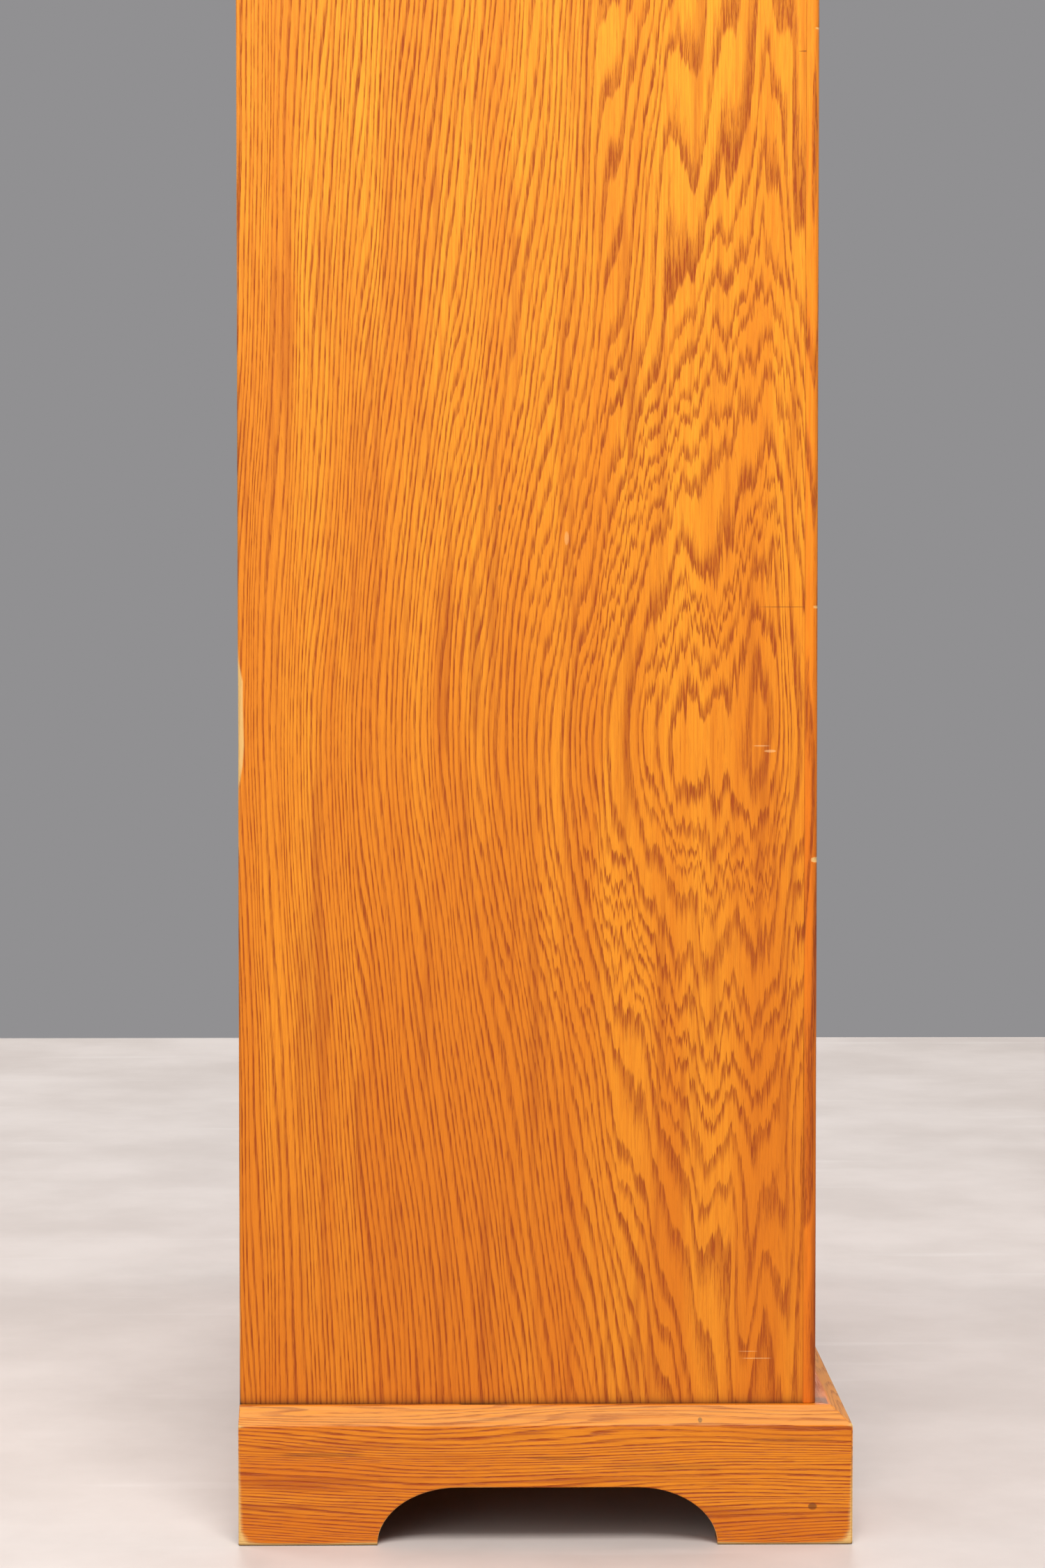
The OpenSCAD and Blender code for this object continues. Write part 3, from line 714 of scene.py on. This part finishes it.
def plinth_board(low, high, run, start, end, mitres, seed):
    """A plinth board's rings. Its section has the outer face at the low side and the chamfer on
    top, its foot follows the arch, and two rows of points low on the face let the scuffs fade."""
    quarter = ARCH_CURVE * (1 - np.cos(np.linspace(0, np.pi / 2, 16)))
    corner = np.array([2.0, 3.5, 6.0, 10.0]) * MM
    extra = np.concatenate([start + quarter, end - quarter, low[run] + corner, high[run] - corner])
    along = stations(low[run], high[run], 0.015, extra, 0.8 * MM)
    across = 1 - run
    outer, inner, top = low[across], high[across], high[2]
    knock = hand_wear(along, seed)
    round_end = end_inset(along, 1.2 * MM)
    face = outer + round_end
    foot = arch(along, start, end)
    corners = ringed(
        along, (face, foot), (inner, foot), (inner, top), (face + CHAMFER_W, top),
        (face, top - CHAMFER_H), (face, foot + UPPER_ROW), (face, foot + LOWER_ROW),
    )
    cut = np.tile(PLINTH_ARRISES, (len(along), 1))
    cut[:, [0, 3, 4]] += PLINTH_KNOCK * knock[:, None]
    outline, near = softened(corners, cut, steps=4)
    depth = outline[..., 0] - outer
    corner_wear = np.exp(-np.minimum(along - along[0], along[-1] - along) / CORNER_RUN)[:, None]
    low_down = np.exp(-outline[..., 1] / LOW_RISE)
    on_face = depth < FACE_DEPTH
    scuffed = np.exp(-outline[..., 1] / SCUFF_RISE) * (0.45 + 0.4 * knock[:, None])
    wear_and_highlight = near * (0.15 + 0.4 * knock[:, None] + 0.4 * low_down)
    wear_and_highlight += (corner_wear * (0.45 + 0.6 * low_down) + scuffed) * on_face
    grime_and_shade = np.exp(-outline[..., 1] / DIRT_RISE) * np.minimum(near * 2, 1)
    # Painted shade: the inner faces of the plinth board, under the case, are set dark through the grime
    # attribute.
    grime_and_shade = np.where(outline[..., 0] > inner - 0.4 * (inner - outer), 0.8, grime_and_shade)
    # Painted highlight: the whole chamfer face is painted paler through the wear attribute, where it
    # faces the light above.
    lit_chamfer = (outline[..., 1] > top - CHAMFER_H) & (depth < CHAMFER_W)
    wear_and_highlight = np.maximum(wear_and_highlight, lit_chamfer * CHAMFER_HIGHLIGHT)
    return mitred(run, along, outline, depth, mitres, MITRE_ZONE), np.clip(wear_and_highlight, 0, 1), grime_and_shade


PLINTH_MARKS = [
    (-88, 71, 1.3, 1.3, DARK_MARK, 0.95),
    (-152, 22, 2.6, 2.2, DARK_MARK, 0.7),
    (128, 52, 26, 1.3, DARK_MARK, 0.4),
    (-6, 50, 20, 1.0, DARK_MARK, 0.35),
    (-70, 45, 34, 2.2, DARK_MARK, 0.2),
    (-140, 60, 26, 1.6, DARK_MARK, 0.25),
]
plinth_side_oak = oak(
    "oak_plinth_side", 1, 2, HONEY, heart=140, bulge=(60, 3, 90), ring=1.4, flames=10,
    strength=1.4, seed=3.3, marks=PLINTH_MARKS,
)
plinth_front_oak = oak(
    "oak_plinth_front", 0, 2, HONEY, heart=110, bulge=(-40, 4, 120), ring=1.4, flames=9, seed=5.9,
    marks=[(-300, 40, 1.4, 1.4, DARK_MARK, 0.8), (220, 52, 1.2, 1.2, DARK_MARK, 0.8)],
)
left_low, left_high = low_high("plinth_left")
foot_start, foot_end = left_low[1] + FOOT_FRONT, left_high[1] - FOOT_BACK
board = plinth_board(left_low, left_high, 1, foot_start, foot_end, (1, 0), 4)
skin("plinth_left_oak", [board], "case", plinth_side_oak, ["plinth_left"])
grid, wear_and_highlight, grime_and_shade = plinth_board(left_low, left_high, 1, foot_start, foot_end, (1, 0), 9)
grid[..., 0] *= -1
skin("plinth_right_oak", [(grid, wear_and_highlight, grime_and_shade)], "case", plinth_side_oak, ["plinth_right"])
front_low, front_high = low_high("plinth_front")
board = plinth_board(
    front_low, front_high, 0, front_low[0] + FOOT_WIDE, front_high[0] - FOOT_WIDE, (1, 1), 2
)
skin("plinth_front_oak", [board], "case", plinth_front_oak, ["plinth_front"])
plain_oak = oak("oak_plain", 0, 1, STAINED, heart=-90, ring=2.4, seed=7.7)
board = plank(*low_high("plinth_back"), 0, dirt=0.5)
skin("plinth_back_oak", [board], "case", plain_oak, ["plinth_back"])
blocks = [plank(low, high, 0, 0.8 * MM, step=0.01) for low, high in lumps("corner_blocks")]
skin("corner_blocks_oak", blocks, "case", plain_oak, ["corner_blocks"])


# ---- Top ----
# A veneered panel with a solid edging on three sides, mitred at the front and chamfered below. It
# lies on the case and overhangs it at the front and at both sides.
TOP_CHAMFER = 9 * MM
EDGING_ARRISES = np.array([0.5, 0.2, 0.2, 1.4, 0.6]) * MM
EDGING_KNOCK = 0.6 * MM


def edging(low, high, run, mitres, seed):
    """An edging's rings, its outer face at the low side. The section is a rectangle with a chamfer
    under the outer face, and the mitres' zone is the whole length."""
    along = stations(low[run], high[run], 0.02)
    across = 1 - run
    outer, inner, bottom, top = low[across], high[across], low[2], high[2]
    knock = hand_wear(along, seed)
    face = outer + end_inset(along, 1.0 * MM)
    corners = ringed(
        along, (face + TOP_CHAMFER, bottom), (inner, bottom), (inner, top), (face, top),
        (face, bottom + TOP_CHAMFER),
    )
    cut = np.tile(EDGING_ARRISES, (len(along), 1))
    cut[:, [3, 4]] += EDGING_KNOCK * knock[:, None]
    outline, near = softened(corners, cut, steps=5)
    depth = outline[..., 0] - outer
    grid = mitred(run, along, outline, depth, mitres, along[-1] - along[0])
    return grid, near * (0.15 + 0.5 * knock[:, None]), np.zeros_like(near)


top_oak = oak("oak_top", 0, 1, HONEY, heart=30, depth=120, bulge=(-150, 9, 190), seed=9.2)
edge_front_oak = oak("oak_edge_front", 0, 1, REDDISH, heart=-400, seed=1.1)
edge_side_oak = oak("oak_edge_side", 1, 0, REDDISH, heart=-700, seed=3.8)
board = plank(*low_high("top_panel"), 0, 0.2 * MM)
skin("top_panel_oak", [board], "case", top_oak, ["top_panel"])
strip = edging(*low_high("top_edge_front"), 0, (1, 1), 6)
skin("top_edge_front_oak", [strip], "case", edge_front_oak, ["top_edge_front"])
for sign, hand in ((1, "left"), (-1, "right")):
    grid, wear_and_highlight, grime_and_shade = edging(*low_high("top_edge_left"), 1, (1, 0), 7 + sign)
    grid[..., 0] *= sign
    node = f"top_edge_{hand}"
    skin(f"{node}_oak", [(grid, wear_and_highlight, grime_and_shade)], "case", edge_side_oak, [node])


# ---- Door stops ----
# Two small blocks glued on each board behind the closed door's foot.
stops = [plank(low, high, 0, 1.2 * MM, step=0.008, worn=0.4) for low, high in lumps("door_stops")]
skin("door_stops_oak", stops, "case", strip_oak, ["door_stops"])


# ---- Doors ----
# Each door is a mortised frame whose top front edge is rounded to turn under the board above. The
# glass lies in a rebate behind it, held by mitred beads, and two turned brass knobs lift it.
ROUND_CUT = 8 * MM
TENON_TRIM, TENON_HALF = 8 * MM, 3 * MM
STEP = np.array([-0.01, 0.01]) * MM
STILE_ARRISES = np.array([0.6, 0.6, 0.0, 0.0, 0.0, 0.4]) * MM
BEAD_W, BEAD_GAP, BEAD_RINGS = 8 * MM, 0.05 * MM, 25
BEAD_ARRISES = np.array([0.0, 0.2, 4.0, 0.4]) * MM
stile_oak = oak("oak_stile", 2, 0, HONEY, heart=-260, seed=2.2)
rail_base = low_high("door_1_stile_left")[0][2] / MM
rail_pitch = (low_high("door_2_stile_left")[0][2] - low_high("door_1_stile_left")[0][2]) / MM
rail_oak = oak(
    "oak_rail", 0, 2, HONEY, heart=150, bulge=(80, 5, 150), seed=4.8, repeat=(rail_base, rail_pitch),
)
bead_oak = oak("oak_bead", 0, 2, REDDISH, heart=-150, seed=6.6)


def clear_glass():
    """Old window glass: a mirror whose alpha is the share that a surface reflects, about
    0.04 + 0.96 * (1 - cos)^5, plus a little for dust, so that it is clear face on."""
    finish = Finish("glass")
    x, y, z = finish.place()
    wave = finish.noise(x * 0.012, y * 0.05, z * 0.03, 2)
    dust = finish.noise(x * 0.03 + 8, y * 0.03, z * 0.05, 4, 0.6).ramp(0.5, 0.8)
    slant = finish.node("LayerWeight", values={"Blend": 0.5}, output="Facing")
    finish.set(
        Base_Color=(0.96, 1.0, 0.985, 1),
        Metallic=1.0,
        Roughness=dust * 0.12 + 0.03,
        Alpha=slant ** 5.0 * 0.96 + dust * 0.035 + 0.05,
        Normal=finish.bump(wave, 0.0008, 0.12),
    )
    return finish.material


def stile(box, beads, rebate_y):
    """A left stile's rings over its height. The section is a rectangle with the glazing rebate cut
    from its inner back corner between the rebate's ends, where a step is two rings close together.
    Near the top the front face runs back along a parabola: with t = 1 - sqrt((top - z) / cut), it
    stands cut * t^2 behind the front."""
    (outer, front, bottom), (inner, back, top) = box
    bead_low, bead_high = beads
    rounding = top - ROUND_CUT * (1 - np.linspace(0, 1, 10)) ** 2
    extra = np.concatenate([rounding, bead_low[2] + STEP, bead_high[2] + STEP])
    z = stations(bottom, top, 0.015, extra, 0.5 * MM)
    rebated = (z > bead_low[2]) & (z < bead_high[2])
    turn = np.clip(1 - np.sqrt(np.maximum(top - z, 0) / ROUND_CUT), 0, 1)
    face = front + ROUND_CUT * turn**2
    face = np.maximum(face, front + end_inset(z, 0.5 * MM) * (z < bottom + 0.01))
    rebate_x = bead_low[0]
    behind = np.where(rebated, rebate_y, back)
    corners = ringed(
        z, (outer, face), (inner, face), (inner, behind), (rebate_x, behind), (rebate_x, back),
        (outer, back),
    )
    knock = hand_wear(z, bottom * 11)
    cut = np.tile(STILE_ARRISES, (len(z), 1))
    cut[:, 0] += 0.4 * MM * knock
    outline, near = softened(corners, cut, steps=3)
    wear_and_highlight = near * (0.1 + 0.45 * knock[:, None])
    return carried(2, z, outline), wear_and_highlight, np.zeros_like(near)


def rail(low, high, shoulder, beads, rebate_y, top_one):
    """A rail's rings along its length. Between the shoulders the section has the rebate on the
    side of the glass, and the top rail its rounded front edge; past them it is the tenon."""
    x = stations(low[0], high[0], 0.02, np.concatenate([STEP - shoulder, STEP + shoulder]), 0.6 * MM)
    body = np.abs(x) < shoulder
    front, back, bottom, top = low[1], high[1], low[2], high[2]
    edge = beads[1][2] if top_one else beads[0][2]
    tenon_y = front + (rebate_y - front) / 2 + np.array([-TENON_HALF, TENON_HALF])
    if top_one:
        section = [
            (front, bottom), (rebate_y, bottom), (rebate_y, edge), (back, edge), (back, top),
            (front, top),
        ]
        tenon_z = (edge, top - TENON_TRIM)
        side = [(0, 0), (1, 0), (1, 0), (1, 0), (1, 1), (0, 1)]
        arrises = [0.6, 0, 0, 0, 0.4, ROUND_CUT / MM]
    else:
        section = [
            (front, bottom), (back, bottom), (back, edge), (rebate_y, edge), (rebate_y, top),
            (front, top),
        ]
        tenon_z = (bottom + TENON_TRIM, edge)
        side = [(0, 0), (1, 0), (1, 1), (1, 1), (1, 1), (0, 1)]
        arrises = [0.6, 0.4, 0, 0, 0, 0.6]
    tenon = [(tenon_y[i], tenon_z[j]) for i, j in side]
    corners = np.where(body[:, None, None], np.array(section)[None], np.array(tenon)[None])
    cut = np.where(body[:, None], np.array(arrises)[None] * MM, 0.0)
    outline, near = softened(corners, cut, steps=9 if top_one else 4)
    knock = hand_wear(x, bottom * 7)
    return carried(0, x, outline), near * (0.08 + 0.35 * knock[:, None]), np.zeros_like(near)


def bead_ring(low, high):
    """Four beads round the light. Each is a quarter-round section carried along, and a point stops
    short of the corner by its distance from the outer edge, which makes the mitre."""
    middle, half = (low + high) / 2, (high - low) / 2
    share = np.linspace(-1, 1, BEAD_RINGS)
    corners = ringed(share, (0, low[1]), (BEAD_W, low[1]), (BEAD_W, high[1]), (0, high[1]))
    outline, near = softened(corners, np.tile(BEAD_ARRISES, (BEAD_RINGS, 1)), steps=7)
    shells = []
    for turn in range(4):
        length, reach = (half[0], half[2]) if turn % 2 == 0 else (half[2], half[0])
        along = share[:, None] * (length - outline[..., 0] - BEAD_GAP)
        inward = outline[..., 0] - reach
        c, s = math.cos(turn * math.pi / 2), math.sin(turn * math.pi / 2)
        x = middle[0] + along * c - inward * s
        z = middle[2] + along * s + inward * c
        shells.append((np.stack([x, outline[..., 1], z], -1), near * 0.15, 0))
    return shells


def turned(profile, cuts, place):
    """A piece turned round an axis along Y. The profile is corners (radius, y) from the axis round
    to the axis, each softened by its cut, and every point of it is a circle."""
    corners, cut = np.array([profile], float) * MM, np.array([cuts], float) * MM
    loop = softened(corners, cut, steps=5, support=0.0002)[0][0]
    around = np.linspace(0, 2 * np.pi, 40, endpoint=False)
    radius, depth = loop[:, 0][:, None], loop[:, 1][:, None]
    grid = np.stack([radius * np.cos(around), depth + 0 * around, radius * np.sin(around)], -1)
    return grid + np.array(place), 0, 0


KNOB = [
    (0, 12), (3, 12), (3, 0), (7.7, 0), (7.7, -1.6), (5.4, -2.4), (4.3, -4.2), (4.3, -6.6),
    (6.2, -7.8), (6.2, -8.8), (9.4, -9.6), (11, -11.8), (10.4, -14.6), (6.6, -16.6), (0, -17),
]
KNOB_CUTS = [0, 0.4, 0, 0.3, 0.5, 0.6, 0.8, 0.8, 0.25, 0.25, 0.7, 1.0, 1.3, 1.8, 0]
glass = clear_glass()
for n in DOORS:
    door = f"door_{n}"
    beads = low_high(f"{door}_beads")
    glass_box = low_high(f"{door}_glass")
    rebate_y = glass_box[0][1]
    left = low_high(f"{door}_stile_left")
    shoulder = -left[1][0]
    for sign, hand in ((1, "left"), (-1, "right")):
        grid, wear_and_highlight, grime_and_shade = stile(left, beads, rebate_y)
        grid[..., 0] *= sign
        shell = (grid, wear_and_highlight, grime_and_shade)
        skin(f"{door}_{hand}_stile", [shell], door, stile_oak, [f"{door}_stile_{hand}"])
    for place, top_one in (("top", True), ("bottom", False)):
        low, high = low_high(f"{door}_rail_{place}")
        shell = rail(low, high, shoulder, beads, rebate_y, top_one)
        skin(f"{door}_{place}_rail", [shell], door, rail_oak, [f"{door}_rail_{place}"])
    pane = plank(*glass_box, 0, 0.3 * MM, step=0.05)
    skin(f"{door}_pane", [pane], door, glass, [f"{door}_glass"])
    skin(f"{door}_bead_ring", bead_ring(*beads), door, bead_oak, [f"{door}_beads"])
    face_y = left[0][1]
    knobs = [
        turned(KNOB, KNOB_CUTS, ((low[0] + high[0]) / 2, face_y, (low[2] + high[2]) / 2))
        for low, high in lumps(f"{door}_knobs")
    ]
    skin(f"{door}_knob_pair", knobs, door, brass, [f"{door}_knobs"], smooth=50)
    for node in (f"{door}_bushes", f"{door}_pivots"):
        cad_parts[node].data.materials.clear()
        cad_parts[node].data.materials.append(brass)
